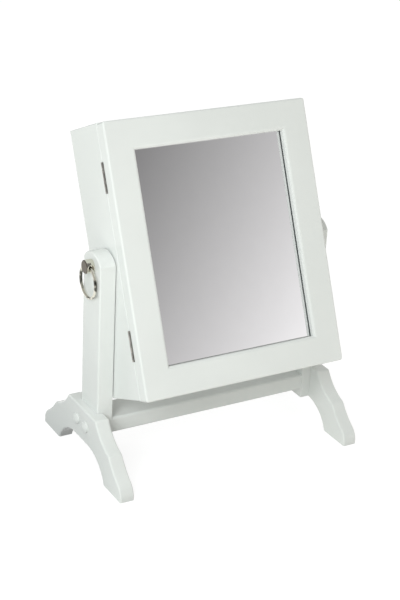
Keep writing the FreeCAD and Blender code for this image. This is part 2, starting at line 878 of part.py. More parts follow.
def cabinet_pieces():
    pieces = {
        "left_side": side_panel(-1),
        "right_side": side_panel(1),
        "top_panel": end_panel(top_z, ceiling_z),
        "bottom_panel": end_panel(base_z, floor_z),
        "back_panel": back_panel(),
        "panel_dowels": Part.makeCompound(dowels()),
        "upper_lining": back_lining(shelf_z, ceiling_z),
        "lower_lining": back_lining(floor_z, shelf_z - board_thickness),
        "shelf": shelf(),
        "shelf_lip": front_lip(shelf_z, lip_height),
        "shelf_divider": divider(shelf_z, divider_height),
        "bottom_lip": front_lip(floor_z, bottom_lip_height),
        "bottom_divider": divider(floor_z, bottom_divider_height),
        "necklace_rail": necklace_rail(),
        "necklace_hooks": Part.makeCompound([hook(place) for place in hook_places()]),
        "catch_case": catch_case(),
        "catch_magnet": magnet(),
        "catch_screws": screws(catch_screw_places(), X),
        "left_tee_nut": tee_nut(-1),
        "right_tee_nut": tee_nut(1),
        "left_washer": washer(-1),
        "right_washer": washer(1),
        "cabinet_leaf_screws": screws(leaf_screw_places(1), Y),
    }
    for index in range(roll_count):
        pieces["ring_roll_%d" % (index + 1)] = ring_roll(index)
    for name, height in zip(("lower", "upper"), hinge_heights()):
        pieces[name + "_hinge_cabinet_leaf"] = hinge_leaf(height, 1)
        pieces[name + "_hinge_pin"] = hinge_pin(height)
    return pieces


def door_pieces():
    glass_back_y = rebate_y + glass_thickness
    pieces = dict(frame_members())
    pieces["mirror"] = pane(rebate_y, glass_back_y)
    pieces["mirror_backing"] = pane(glass_back_y, door_back_y)
    pieces["backing_clips"] = clips()
    pieces["clip_screws"] = screws(clip_screw_places(), -Y)
    pieces["strike_plate"] = strike_plate()
    pieces["strike_screw"] = screw(strike_screw_place(), -Y)
    pieces["door_leaf_screws"] = screws(leaf_screw_places(-1), -Y)
    for name, height in zip(("lower", "upper"), hinge_heights()):
        pieces[name + "_hinge_door_leaf"] = hinge_leaf(height, -1)
    return pieces


def main():
    os.makedirs("parts", exist_ok=True)
    pieces = stand_pieces()
    for name, shape in list(cabinet_pieces().items()) + list(door_pieces().items()):
        pieces[name] = leaned(shape)
    for name, shape in pieces.items():
        shape.exportStep(os.path.join("parts", name + ".step"))


main()
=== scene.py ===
import json
import math

import bmesh
import bpy
from mathutils import Matrix, Vector

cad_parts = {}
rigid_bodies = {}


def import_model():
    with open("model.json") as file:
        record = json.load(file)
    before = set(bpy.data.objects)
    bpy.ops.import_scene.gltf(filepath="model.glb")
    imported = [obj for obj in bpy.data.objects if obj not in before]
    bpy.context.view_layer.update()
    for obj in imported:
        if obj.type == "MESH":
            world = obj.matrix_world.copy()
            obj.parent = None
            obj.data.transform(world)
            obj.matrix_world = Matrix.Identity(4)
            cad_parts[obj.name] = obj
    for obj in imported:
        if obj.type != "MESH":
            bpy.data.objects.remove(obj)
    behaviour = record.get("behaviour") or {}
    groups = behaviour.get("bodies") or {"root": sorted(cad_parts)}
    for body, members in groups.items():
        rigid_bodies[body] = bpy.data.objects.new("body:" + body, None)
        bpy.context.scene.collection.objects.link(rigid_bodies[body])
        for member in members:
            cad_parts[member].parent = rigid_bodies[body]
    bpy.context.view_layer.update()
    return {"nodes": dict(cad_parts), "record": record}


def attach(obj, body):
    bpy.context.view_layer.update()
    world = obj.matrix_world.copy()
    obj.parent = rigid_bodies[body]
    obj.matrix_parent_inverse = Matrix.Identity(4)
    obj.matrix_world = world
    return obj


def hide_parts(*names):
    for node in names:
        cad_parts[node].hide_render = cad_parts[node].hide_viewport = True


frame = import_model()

# Dressing of the tilting jewellery cabinet: lacquer, nickel, mirror, velvet, screws, brads and ring rolls.
# Pieces of the cabinet and the door are drawn upright in millimetres with their origin on the tilt axis,
# as the solids are, and the lean matrix carries them to their place in metres.

mm = 0.001

pivot_height = 227.537
lean_angle = 23.8
lean = (Matrix.Translation((0, 0, pivot_height * mm)) @ Matrix.Rotation(math.radians(-lean_angle), 4, "X")
        @ Matrix.Scale(mm, 4))

# Planes of the upright cabinet and door, in millimetres
half_width = 120.0
inner_x = 108.0
back_y = 43.2
inner_back_y = 38.7
front_y = -24.2
door_back_y = -24.7
hinge_y = (front_y + door_back_y) / 2
base_z, top_z = -143.6, 141.6
board_thickness = 6.0
shelf_rise = 96.0
shelf_setback = 6.5
shelf_z = base_z + shelf_rise
shelf_back_y = front_y + shelf_setback + board_thickness
door_base_z, door_top_z = -145.0, 141.4
door_middle_z = (door_base_z + door_top_z) / 2
half_door = (door_top_z - door_base_z) / 2
opening_inset = 31.9
rebate_width = 7.0
rebate_inset = opening_inset - rebate_width
door_thickness = 15.0
mirror_recess = 6.9
glass_front_y = door_back_y - door_thickness + mirror_recess

# Mirror glass in its rebate, in millimetres
glass_gap = 1.0
glass_thickness = 3.0
glass_arris = 0.5
silver_depth = 1.5
# how far in from the glass's edge its front is painted dark, painted shade under the door's lip
dark_margin = 5.4
margin_draft = 0.05

# Hinges, clips, catch and strike plate, in millimetres
lower_hinge_rise, upper_hinge_drop = 56.7, 55.8
hinge_inset = 0.4
leaf_start, leaf_width = 2.3, 10.4
leaf_gap = 0.2
leaf_screw_spread = 19.0
clip_thickness = 0.8
clip_stile_inset, clip_rail_inset = 59.0, 70.0
clip_screw_reach = 3.5
catch_rise = 31.5
catch_width, catch_depth = 11.0, 14.0
catch_flange_thickness = 2.5
catch_screw_spread = 40.0
strike_thickness = 1.2
magnet_gap = 0.2
magnet_proud = 0.6

# Brads of the back panel: how far outside the opening they stand, and how far inside the cabinet's ends
brad_outset = 3.0
brad_end_inset = 9.0

# Ring rolls, in millimetres. Their covers are blown up in a drawing ten times full size.
roll_count = 4
roll_gap = 0.5
roll_lift = 0.1
pleat_turn = 0.9
tenfold = 10 * mm

# Left pivot knob, in millimetres: where its end face begins, and how far below the pivot its ring has
# dark patches painted on, painted reflections
boss_rim_x, boss_face_x = 146.3, 147.0
reflection_patches_start, reflection_patches_full = 7.5, 10.5

black = (0.0, 0.0, 0.0, 1.0)


class Signal:
    """A shader value that takes part in sums."""

    def __init__(self, net, socket):
        self.net = net
        self.socket = socket

    def combined(self, operation, first, second):
        return self.net.add("ShaderNodeMath", {"operation": operation}, {0: first, 1: second})

    def __add__(self, other):
        return self.combined("ADD", self, other)

    def __radd__(self, other):
        return self.combined("ADD", other, self)

    def __sub__(self, other):
        return self.combined("SUBTRACT", self, other)

    def __rsub__(self, other):
        return self.combined("SUBTRACT", other, self)

    def __mul__(self, other):
        return self.combined("MULTIPLY", self, other)

    def __rmul__(self, other):
        return self.combined("MULTIPLY", other, self)


class Net:
    """A node tree that is filled one node at a time."""

    def __init__(self, tree):
        self.tree = tree
        tree.nodes.clear()

    def add(self, kind, settings=None, sockets=None, output=0):
        """Add a node, set it up, feed its sockets and give back one of its outputs."""
        node = self.tree.nodes.new(kind)
        for name, value in (settings or {}).items():
            setattr(node, name, value)
        for name, value in (sockets or {}).items():
            if isinstance(value, Signal):
                self.tree.links.new(value.socket, node.inputs[name])
            else:
                node.inputs[name].default_value = value
        if len(node.outputs) > 0:
            return Signal(self, node.outputs[output])
        return None

    def place(self):
        return self.add("ShaderNodeTexCoord", output="Object")

    def split(self, where):
        """The three parts of a place or direction: across, depth and height."""
        node = self.add("ShaderNodeSeparateXYZ", {}, {"Vector": where}).socket.node
        return tuple(Signal(self, node.outputs[axis]) for axis in "XYZ")

    def clamped(self, value, low=0.0, high=1.0):
        return self.add("ShaderNodeClamp", {}, {"Value": value, "Min": low, "Max": high})

    def ray(self, kind):
        return self.add("ShaderNodeLightPath", output="Is %s Ray" % kind)

    def stretched(self, scale, turn=(0.0, 0.0, 0.0)):
        """Object coordinates, scaled apart along the three axes."""
        return self.add("ShaderNodeMapping", {}, {"Vector": self.place(), "Rotation": turn, "Scale": scale})

    def noise(self, where, scale, detail=2.0, roughness=0.5):
        return self.add("ShaderNodeTexNoise", {},
                        {"Vector": where, "Scale": scale, "Detail": detail, "Roughness": roughness})

    def mixed(self, share, low, high):
        """Colour between two colours."""
        return self.add("ShaderNodeMix", {"data_type": "RGBA"}, {0: share, 6: low, 7: high}, output=2)

    def spread(self, value, low, high):
        """Pull the part of a value between two levels out to the range from 0 to 1."""
        return self.add("ShaderNodeMapRange", {"interpolation_type": "SMOOTHSTEP"},
                        {"Value": value, "From Min": low, "From Max": high})

    def relief(self, height, depth, strength=1.0):
        return self.add("ShaderNodeBump", {}, {"Height": height, "Distance": depth, "Strength": strength})

    def surface(self, sockets):
        shader = self.add("ShaderNodeBsdfPrincipled", {}, sockets)
        self.add("ShaderNodeOutputMaterial", {}, {"Surface": shader})


def new_finish(name):
    material = bpy.data.materials.new(name)
    material.use_nodes = True
    return material, Net(material.node_tree)


def shade(colour, level):
    return tuple(min(1.0, part * level) for part in colour) + (1.0,)


def lacquer(name, colour, gloss):
    """Sprayed satin lacquer: a faint drift in tone, orange peel and a few fine nibs."""
    material, net = new_finish(name)
    place = net.place()
    drift = net.noise(place, 14.0, 3.0)
    peel = net.noise(place, 620.0, 2.0)
    nibs = net.spread(net.noise(place, 2600.0, 1.0), 0.70, 0.82)
    tone = net.mixed(net.spread(drift, 0.3, 0.7), shade(colour, 0.975), shade(colour, 1.01))
    net.surface({
        "Base Color": net.mixed(nibs * 0.25, tone, shade(colour, 0.9)),
        "Roughness": gloss + 0.12 * net.noise(place, 46.0, 4.0),
        "Specular IOR Level": 0.45,
        "Normal": net.relief(peel + 0.35 * nibs, 0.00005, 0.6),
    })
    return material


def plated(name, colour, gloss, brush, dark_reflection_patches=0.0):
    """Metal plate with soft cloudiness, darker patches painted in as dark reflections, and fine scratches
    along one direction.
    """
    material, net = new_finish(name)
    place = net.place()
    cloud = net.noise(place, 160.0, 3.0)
    scratches = net.noise(net.stretched(brush), 1.0, 4.0, 0.65)
    dulled = net.spread(net.noise(place, 420.0, 2.0), 0.55, 0.8)
    patches = net.spread(net.noise(place, 230.0, 1.0), 0.42, 0.56)
    plain = net.mixed(cloud, shade(colour, 0.86), shade(colour, 1.06))
    net.surface({
        # Dark patches mixed into the colour are painted dark reflections.
        "Base Color": net.mixed(patches * dark_reflection_patches, plain, shade(colour, 0.12)),
        "Metallic": 1.0,
        "Roughness": gloss + 0.10 * scratches + 0.08 * dulled,
        "Normal": net.relief(scratches, 0.00003, 0.35),
    })
    return material


def knob_nickel(name, colour):
    """Nickel of the pivot knob: its turned end face is painted dark, a painted dark reflection, and the
    ring has dark patches painted on, painted reflections."""
    material, net = new_finish(name)
    place = net.place()
    across, depth, height = net.split(place)
    end_face = net.spread(-1 * across, boss_rim_x * mm, boss_face_x * mm)
    drop = pivot_height * mm - height
    radius = net.add("ShaderNodeMath", {"operation": "SQRT"}, {0: depth * depth + drop * drop})
    turned = net.add("ShaderNodeTexNoise", {"noise_dimensions": "1D"}, {"W": radius, "Scale": 3200.0})
    below = net.spread(drop, reflection_patches_start * mm, reflection_patches_full * mm)
    # Dark patches painted on the ring below the pivot stand in for dark reflections.
    ring_reflection_patch_mask = below * net.spread(net.noise(place, 115.0, 1.0), 0.42, 0.60)
    scratches = net.noise(net.stretched((260.0, 1500.0, 1500.0)), 1.0, 4.0, 0.65)
    plain = net.mixed(net.noise(place, 160.0, 3.0), shade(colour, 0.86), shade(colour, 1.06))
    dark_reflection_patches = net.mixed(ring_reflection_patch_mask, plain, shade(colour, 0.12))
    # The end face is painted dark, a painted dark reflection of the side it faces; the turned rings in it
    # are real.
    end_face_painted_dark = net.mixed(turned, (0.075, 0.064, 0.050, 1.0), (0.20, 0.175, 0.14, 1.0))
    net.surface({
        "Base Color": net.mixed(end_face, dark_reflection_patches, end_face_painted_dark),
        "Metallic": 1.0,
        "Roughness": 0.10 + 0.10 * scratches + 0.14 * end_face * turned,
        "Normal": net.relief(scratches + 0.8 * end_face * turned, 0.00003, 0.35),
    })
    return material


def silvering(name):
    """Silvered face of the mirror: nearly smooth, with the faintest ripple."""
    material, net = new_finish(name)
    ripple = net.noise(net.place(), 9.0, 1.0)
    haze = net.noise(net.place(), 70.0, 3.0)
    net.surface({
        "Base Color": net.mixed(haze, (0.905, 0.905, 0.91, 1.0), (0.935, 0.935, 0.94, 1.0)),
        "Metallic": 1.0,
        "Roughness": 0.004 + 0.008 * haze,
        "Normal": net.relief(ripple, 0.00002, 0.3),
    })
    return material


def glass_edge(name):
    """Cut edge and margin of the mirror glass, dark green grey: the glass edge's own green, painted dark
    enough to stand as painted shade on the margin under the lip.
    """
    material, net = new_finish(name)
    grind = net.noise(net.stretched((900.0, 900.0, 120.0)), 1.0, 3.0)
    net.surface({
        "Base Color": net.mixed(grind, (0.05, 0.065, 0.063, 1.0), (0.10, 0.12, 0.117, 1.0)),
        "Roughness": 0.22 + 0.2 * grind,
        "Normal": net.relief(grind, 0.00003, 0.4),
    })
    return material


def velvet(name, colour, nap):
    """Short pile that lies one way here and another way there, with a soft sheen."""
    material, net = new_finish(name)
    place = net.place()
    brushed = net.spread(net.noise(place, 34.0, 4.0, 0.6), 0.35, 0.68)
    pile = net.noise(place, 3800.0, 2.0, 0.7)
    tufts = net.noise(place, 900.0, 3.0)
    deep = net.mixed(brushed, shade(colour, 0.62), shade(colour, 1.3))
    net.surface({
        "Base Color": net.mixed(pile * 0.6, deep, shade(colour, 1.9)),
        "Roughness": 0.86 + 0.12 * tufts,
        "Specular IOR Level": 0.15,
        "Sheen Weight": nap,
        "Sheen Roughness": 0.35,
        "Sheen Tint": (0.8, 0.8, 0.86, 1.0),
        "Normal": net.relief(pile + 0.8 * tufts, 0.00022, 0.8),
    })
    return material


def hardboard(name, colour, smooth):
    """Pressed fibre board: short tangled fibres and a faint mesh left by the press."""
    material, net = new_finish(name)
    place = net.place()
    fibres = net.noise(net.stretched((260.0, 900.0, 900.0), (0.0, 0.3, 0.5)), 1.0, 4.0, 0.6)
    crossed = net.noise(net.stretched((900.0, 900.0, 260.0), (0.4, 0.0, 0.2)), 1.0, 4.0, 0.6)
    mottle = net.noise(place, 24.0, 4.0)
    felt = 0.5 * fibres + 0.5 * crossed
    tone = net.mixed(mottle, shade(colour, 0.9), shade(colour, 1.06))
    net.surface({
        "Base Color": net.mixed(net.spread(felt, 0.56, 0.75), tone, shade(colour, 0.78)),
        "Roughness": smooth + 0.2 * felt,
        "Specular IOR Level": 0.3,
        "Normal": net.relief(felt, 0.00012, 0.5),
    })
    return material


def bare_beech(name):
    """Dowel wood with long grain, short flecks and open pores."""
    material, net = new_finish(name)
    grain = net.noise(net.stretched((30.0, 900.0, 900.0)), 1.0, 5.0, 0.6)
    flecks = net.spread(net.noise(net.stretched((350.0, 2200.0, 2200.0)), 1.0, 2.0), 0.62, 0.75)
    tone = net.mixed(grain, (0.36, 0.22, 0.11, 1.0), (0.56, 0.38, 0.21, 1.0))
    net.surface({
        "Base Color": net.mixed(flecks, tone, (0.22, 0.12, 0.06, 1.0)),
        "Roughness": 0.55 + 0.2 * grain,
        "Normal": net.relief(grain - 0.6 * flecks, 0.0001, 0.5),
    })
    return material


def moulded(name, colour, gloss):
    """Moulded plastic with a fine spark-eroded grain and slight flow marks."""
    material, net = new_finish(name)
    grain = net.noise(net.place(), 1800.0, 3.0)
    flow = net.noise(net.stretched((40.0, 90.0, 40.0)), 1.0, 3.0)
    net.surface({
        "Base Color": net.mixed(flow, shade(colour, 0.965), shade(colour, 1.01)),
        "Roughness": gloss + 0.14 * grain,
        "Normal": net.relief(grain, 0.00003, 0.5),
    })
    return material


def make_finishes():
    """One finish for each material slot of the record, and the two that only the mirror pane uses."""
    white = (0.80, 0.82, 0.805)
    return {
        "white_paint": lacquer("white_lacquer", white, 0.12),
        "white_board": hardboard("white_hardboard", (0.78, 0.80, 0.785), 0.42),
        "cap_plastic": moulded("white_cap_plastic", white, 0.30),
        "bare_wood": bare_beech("beech_dowel"),
        "steel": plated("zinc_steel", (0.50, 0.50, 0.50), 0.28, (1400.0, 1400.0, 160.0)),
        "screw_steel": plated("screw_zinc", (0.55, 0.55, 0.53), 0.22, (1500.0, 300.0, 1500.0)),
        "nickel": knob_nickel("knob_nickel", (0.80, 0.78, 0.68)),
        "hinge_nickel": plated("hinge_nickel", (0.50, 0.49, 0.455), 0.16, (1600.0, 1600.0, 200.0), 0.35),
        "clip_steel": plated("clip_steel", (0.46, 0.46, 0.46), 0.30, (1500.0, 1500.0, 220.0)),
        "washer_nylon": moulded("nylon", (0.72, 0.72, 0.69), 0.40),
        "catch_plastic": moulded("catch_plastic", (0.74, 0.76, 0.75), 0.34),
        "velvet": velvet("lining_velvet", (0.020, 0.020, 0.023), 0.55),
        "ring_velvet": velvet("roll_velvet", (0.024, 0.024, 0.028), 0.65),
        "mirror": silvering("mirror_silver"),
        "backing_board": hardboard("dark_backing", (0.028, 0.026, 0.026), 0.60),
        "glass_edge": glass_edge("mirror_edge_and_painted_shade"),
        "mirror_back_paint": moulded("mirror_back_paint", (0.16, 0.17, 0.18), 0.45),
    }


def dress_solids(finishes):
    """Give every solid the finish of its slot in the record."""
    for subpart in frame["record"]["subparts"]:
        mesh = frame["nodes"][subpart["node"]].data
        mesh.materials.clear()
        mesh.materials.append(finishes[subpart["material_slot"]])


def new_piece(name, mesh):
    piece = bpy.data.objects.new(name, mesh)
    bpy.context.scene.collection.objects.link(piece)
    return piece


def mirror_pane(finishes):
    """Mirror glass. Its silvering lies behind the clear glass, a little below the door's lip, and the cut
    margin under the lip is painted dark, painted shade that is seen as a dark line."""
    wide = half_width - rebate_inset - glass_gap
    tall = half_door - rebate_inset - glass_gap
    front = glass_front_y
    back = glass_front_y + glass_thickness
    rings = [
        (glass_arris, back),
        (0.0, back - glass_arris),
        (0.0, front + glass_arris),
        (glass_arris, front),
        (dark_margin, front),
        (dark_margin + margin_draft, front + silver_depth),
    ]
    shape = bmesh.new()
    loops = []
    for inset, y in rings:
        x, z = wide - inset, tall - inset
        corners = ((-x, -z), (x, -z), (x, z), (-x, z))
        loops.append([shape.verts.new((across, y, door_middle_z + up)) for across, up in corners])
    for near, far in zip(loops, loops[1:]):
        for corner in range(4):
            following = (corner + 1) % 4
            face = shape.faces.new((near[corner], near[following], far[following], far[corner]))
            face.material_index = 1
    shape.faces.new(loops[0]).material_index = 2
    shape.faces.new(loops[-1]).material_index = 0
    bmesh.ops.recalc_face_normals(shape, faces=shape.faces)
    shape.transform(lean)
    mesh = bpy.data.meshes.new("mirror_pane")
    shape.to_mesh(mesh)
    shape.free()
    for finish in ("mirror", "glass_edge", "mirror_back_paint"):
        mesh.materials.append(finishes[finish])
    piece = new_piece("mirror_pane", mesh)
    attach(piece, "door")
    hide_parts("mirror")


class NodeTree:
    """A geometry tree with named inputs, filled one node at a time."""

    def __init__(self, name, inputs):
        self.tree = bpy.data.node_groups.new(name, "GeometryNodeTree")
        self.ids = {}
        for label, kind, value in inputs:
            socket = self.tree.interface.new_socket(label, in_out="INPUT", socket_type=kind)
            self.ids[label] = socket.identifier
            if value is not None:
                socket.default_value = value
        self.tree.interface.new_socket("Geometry", in_out="OUTPUT", socket_type="NodeSocketGeometry")
        self.given = self.tree.nodes.new("NodeGroupInput")
        self.result = self.tree.nodes.new("NodeGroupOutput")

    def input(self, label):
        return self.given.outputs[label]

    def add(self, kind, settings=None, sockets=None, output=0):
        node = self.tree.nodes.new(kind)
        for name, value in (settings or {}).items():
            setattr(node, name, value)
        for name, value in (sockets or {}).items():
            for one in value if isinstance(value, list) else [value]:
                if isinstance(one, bpy.types.NodeSocket):
                    self.tree.links.new(one, node.inputs[name])
                else:
                    node.inputs[name].default_value = one
        return node.outputs[output]

    def calc(self, operation, first, second):
        return self.add("ShaderNodeMath", {"operation": operation}, {0: first, 1: second})

    def vector(self, x, y, z):
        return self.add("ShaderNodeCombineXYZ", {}, {0: x, 1: y, 2: z})

    def end(self, geometry, material):
        """Make the copies real, give them their finish and hand them out."""
        real = self.add("GeometryNodeRealizeInstances", {}, {"Geometry": geometry})
        finished = self.add("GeometryNodeSetMaterial", {}, {"Geometry": real, "Material": material})
        self.tree.links.new(finished, self.result.inputs["Geometry"])

    def grown(self, name, mesh, values):
        """Run the tree on a mesh and give back the result as a plain piece."""
        source = new_piece(name, mesh)
        modifier = source.modifiers.new("grown", "NODES")
        modifier.node_group = self.tree
        for label, value in values.items():
            modifier[self.ids[label]] = value
        depsgraph = bpy.context.evaluated_depsgraph_get()
        result = bpy.data.meshes.new_from_object(source.evaluated_get(depsgraph))
        source.modifiers.remove(modifier)
        result.name = name
        source.data = result
        return source


def screw_tree(material):
    """Countersunk screws with a cross recess, one at each point, facing along the point's direction."""
    tree = NodeTree("countersunk_screws", [
        ("Geometry", "NodeSocketGeometry", None),
        ("Head radius", "NodeSocketFloat", 2.0 * mm),
        ("Shank radius", "NodeSocketFloat", 1.1 * mm),
        ("Length", "NodeSocketFloat", 8.0 * mm),
        ("Recess width", "NodeSocketFloat", 0.55 * mm),
        ("Recess depth", "NodeSocketFloat", 0.75 * mm),
        ("Spin seed", "NodeSocketInt", 7),
    ])
    head = tree.input("Head radius")
    shank = tree.input("Shank radius")
    length = tree.input("Length")
    width = tree.input("Recess width")
    depth = tree.input("Recess depth")
    taper = tree.calc("SUBTRACT", head, shank)
    cone = tree.add("GeometryNodeMeshCone", {}, {
        "Vertices": 32, "Radius Top": head, "Radius Bottom": shank, "Depth": taper})
    sunk = tree.vector(0.0, 0.0, tree.calc("MULTIPLY", taper, -1.0))
    cone = tree.add("GeometryNodeTransform", {}, {"Geometry": cone, "Translation": sunk})
    body = tree.add("GeometryNodeMeshCylinder", {}, {
        "Vertices": 16, "Radius": tree.calc("MULTIPLY", shank, 0.92), "Depth": length})
    down = tree.vector(0.0, 0.0, tree.calc("MULTIPLY", tree.calc("ADD", length, taper), -0.5))
    body = tree.add("GeometryNodeTransform", {}, {"Geometry": body, "Translation": down})
    arms = []
    span = tree.calc("MULTIPLY", head, 1.25)
    twice = tree.calc("MULTIPLY", depth, 2.0)
    for size in (tree.vector(span, width, twice), tree.vector(width, span, twice)):
        arms.append(tree.add("GeometryNodeMeshCube", {}, {"Size": size}))
    cut = tree.add("GeometryNodeMeshBoolean", {"operation": "DIFFERENCE"}, {"Mesh 1": cone, "Mesh 2": arms})
    whole = tree.add("GeometryNodeJoinGeometry", {}, {"Geometry": [cut, body]})
    facing = tree.add("GeometryNodeInputNamedAttribute", {"data_type": "FLOAT_VECTOR"}, {"Name": "facing"})
    turned = tree.add("FunctionNodeAlignRotationToVector", {"axis": "Z"}, {"Vector": facing})
    spin = tree.add("FunctionNodeRandomValue", {"data_type": "FLOAT"},
                    {2: 0.0, 3: math.pi / 2, "Seed": tree.input("Spin seed")}, output=1)
    about = tree.add("FunctionNodeAxisAngleToRotation", {}, {"Axis": (0.0, 0.0, 1.0), "Angle": spin})
    turned = tree.add("FunctionNodeRotateRotation", {"rotation_space": "LOCAL"},
                      {"Rotation": turned, "Rotate By": about})
    copies = tree.add("GeometryNodeInstanceOnPoints", {}, {
        "Points": tree.input("Geometry"), "Instance": whole, "Rotation": turned})
    tree.end(copies, material)
    return tree


def brad_tree(material):
    """Small brad heads at an even pitch along the edges of a mesh."""
    tree = NodeTree("brad_heads", [
        ("Geometry", "NodeSocketGeometry", None),
        ("Pitch", "NodeSocketFloat", 34.0 * mm),
        ("Head radius", "NodeSocketFloat", 0.9 * mm),
        ("Proud", "NodeSocketFloat", 0.25 * mm),
        ("Facing", "NodeSocketVector", (0.0, 1.0, 0.0)),
    ])
    line = tree.add("GeometryNodeMeshToCurve", {}, {"Mesh": tree.input("Geometry")})
    line = tree.add("GeometryNodeResampleCurve", {"mode": "LENGTH"},
                    {"Curve": line, "Length": tree.input("Pitch")})
    dome = tree.add("GeometryNodeMeshUVSphere", {}, {
        "Segments": 16, "Rings": 8, "Radius": tree.input("Head radius")})
    flat = tree.calc("DIVIDE", tree.input("Proud"), tree.input("Head radius"))
    dome = tree.add("GeometryNodeTransform", {}, {"Geometry": dome, "Scale": tree.vector(1.0, 1.0, flat)})
    turned = tree.add("FunctionNodeAlignRotationToVector", {"axis": "Z"}, {"Vector": tree.input("Facing")})
    copies = tree.add("GeometryNodeInstanceOnPoints", {}, {
        "Points": line, "Instance": dome, "Rotation": turned})
    tree.end(copies, material)
    return tree


def leaned(way):
    """Direction on the upright cabinet, turned by its lean."""
    return (lean.to_3x3() @ Vector(way)).normalized()


def points_mesh(name, places):
    """Mesh of bare points, each with the direction that its screw faces."""
    mesh = bpy.data.meshes.new(name)
    mesh.from_pydata([lean @ Vector(place) for place, _ in places], [], [])
    facing = mesh.attributes.new("facing", "FLOAT_VECTOR", "POINT")
    for index, (_, way) in enumerate(places):
        facing.data[index].vector = leaned(way)
    return mesh


def screw_places():
    """Places and directions of the screws on the cabinet and on the door."""
    front, rear = (0, -1, 0), (0, 1, 0)
    cabinet, door = [], []
    leaf_x = -half_width + hinge_inset + (leaf_start + leaf_width) / 2
    for height in (base_z + lower_hinge_rise, top_z - upper_hinge_drop):
        for step in (-leaf_screw_spread / 2, leaf_screw_spread / 2):
            cabinet.append(((leaf_x, hinge_y + leaf_gap / 2, height + step), front))
            door.append(((leaf_x, hinge_y - leaf_gap / 2, height + step), rear))
    catch_z = (base_z + top_z) / 2 + catch_rise
    catch_y = door_back_y + strike_thickness + magnet_gap + magnet_proud + catch_depth / 2
    for step in (-catch_screw_spread / 2, catch_screw_spread / 2):
        cabinet.append(((inner_x - catch_flange_thickness, catch_y, catch_z + step), (-1, 0, 0)))
    door.append(((inner_x - catch_width / 2, door_back_y + strike_thickness, catch_z), rear))
    face = door_back_y + clip_thickness
    for side in (-1, 1):
        for end in (-1, 1):
            stile_x = side * (half_width - rebate_inset + clip_screw_reach)
            door.append(((stile_x, face, door_middle_z + end * (half_door - clip_stile_inset)), rear))
            rail_z = door_middle_z + side * (half_door - rebate_inset + clip_screw_reach)
            door.append(((end * (half_width - clip_rail_inset), face, rail_z), rear))
    return cabinet, door


def drive_screws(finishes):
    tree = screw_tree(finishes["screw_steel"])
    cabinet, door = screw_places()
    for name, body, places, nodes in (
            ("cabinet_screws", "cabinet", cabinet, ("cabinet_leaf_screws", "catch_screws")),
            ("door_screws", "door", door, ("door_leaf_screws", "clip_screws", "strike_screw"))):
        piece = tree.grown(name, points_mesh(name, places), {"Spin seed": len(places)})
        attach(piece, body)
        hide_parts(*nodes)


def pin_back_panel(finishes):
    """Brads all round the back panel, over the rebate that it lies in."""
    wide = inner_x + brad_outset
    low, high = base_z + brad_end_inset, top_z - brad_end_inset
    corners = [(-wide, back_y, low), (wide, back_y, low), (wide, back_y, high), (-wide, back_y, high)]
    mesh = bpy.data.meshes.new("back_panel_brads")
    mesh.from_pydata([lean @ Vector(corner) for corner in corners], [(0, 1), (1, 2), (2, 3), (3, 0)], [])
    tree = brad_tree(finishes["screw_steel"])
    piece = tree.grown("back_panel_brads", mesh, {"Facing": leaned((0, 1, 0))})
    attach(piece, "cabinet")


def slack_roll(length, radius, phase):
    """Slack velvet tube with puckered ends, in a drawing ten times full size in metres."""
    around, along = 56, 72
    fine_pleats, broad_pleats = 11, 7
    end_pucker, rim_pucker = 0.10, 0.055
    rim_draw = 0.16
    end_sink, end_hollow, rim_inset = 0.12, 0.75, 0.02
    shape = bmesh.new()
    rings = []

    def ring(x, size, pucker):
        loop = []
        for step in range(around):
            angle = 2 * math.pi * step / around
            fine = math.cos(fine_pleats * angle + phase)
            broad = math.cos(broad_pleats * angle - 2 * phase)
            reach = size * (1 + pucker * fine + 0.5 * pucker * broad)
            loop.append(shape.verts.new((x, reach * math.cos(angle), reach * math.sin(angle))))
        rings.append(loop)

    # Each end: share of the radius, and how near to the rim's plane that ring lies
    tucked_rings = ((0.10, 0.80), (0.32, 0.86), (0.55, 0.93), (0.76, 0.98))
    half = length / 2
    for share, near_rim in tucked_rings:
        ring(-half + radius * end_hollow * (1 - near_rim) + radius * end_sink, radius * share, end_pucker)
    for step in range(along + 1):
        u = 2 * step / along - 1
        drawn = 1 - rim_draw * abs(u) ** 14
        ring(u * (half - radius * rim_inset), radius * drawn, rim_pucker * abs(u) ** 10)
    for share, near_rim in reversed(tucked_rings):
        ring(half - radius * end_hollow * (1 - near_rim) - radius * end_sink, radius * share, end_pucker)
    for near, far in zip(rings, rings[1:]):
        for step in range(around):
            following = (step + 1) % around
            shape.faces.new((near[step], near[following], far[following], far[step]))
    shape.faces.new(list(reversed(rings[0])))
    shape.faces.new(rings[-1])
    bmesh.ops.triangulate(shape, faces=[face for face in shape.faces if len(face.verts) > 4])
    bmesh.ops.recalc_face_normals(shape, faces=shape.faces)
    mesh = bpy.data.meshes.new("slack_roll")
    shape.to_mesh(mesh)
    shape.free()
    return mesh


def stuffed(piece, held, most):
    """Blow the slack cover up with Cloth, keep the result and cap how far each point moved."""
    last_step = 20
    group = piece.vertex_groups.new(name="held")
    group.add(held, 1.0, "REPLACE")
    cloth = piece.modifiers.new("stuffing", "CLOTH")
    settings = cloth.settings
    settings.quality = 6
    settings.mass = 0.25
    settings.tension_stiffness = 12
    settings.compression_stiffness = 12
    settings.shear_stiffness = 6
    settings.bending_stiffness = 0.4
    settings.use_pressure = True
    settings.uniform_pressure_force = 4.0
    settings.effector_weights.gravity = 0.0
    settings.vertex_group_mass = "held"
    scene = bpy.context.scene
    for step in range(1, last_step + 1):
        scene.frame_set(step)
    depsgraph = bpy.context.evaluated_depsgraph_get()
    blown = bpy.data.meshes.new_from_object(piece.evaluated_get(depsgraph))
    for before, after in zip(piece.data.vertices, blown.vertices):
        move = after.co - before.co
        if move.length > most:
            move *= most / move.length
        before.co = before.co + move
    piece.modifiers.remove(cloth)
    piece.vertex_groups.remove(group)
    scene.frame_set(1)


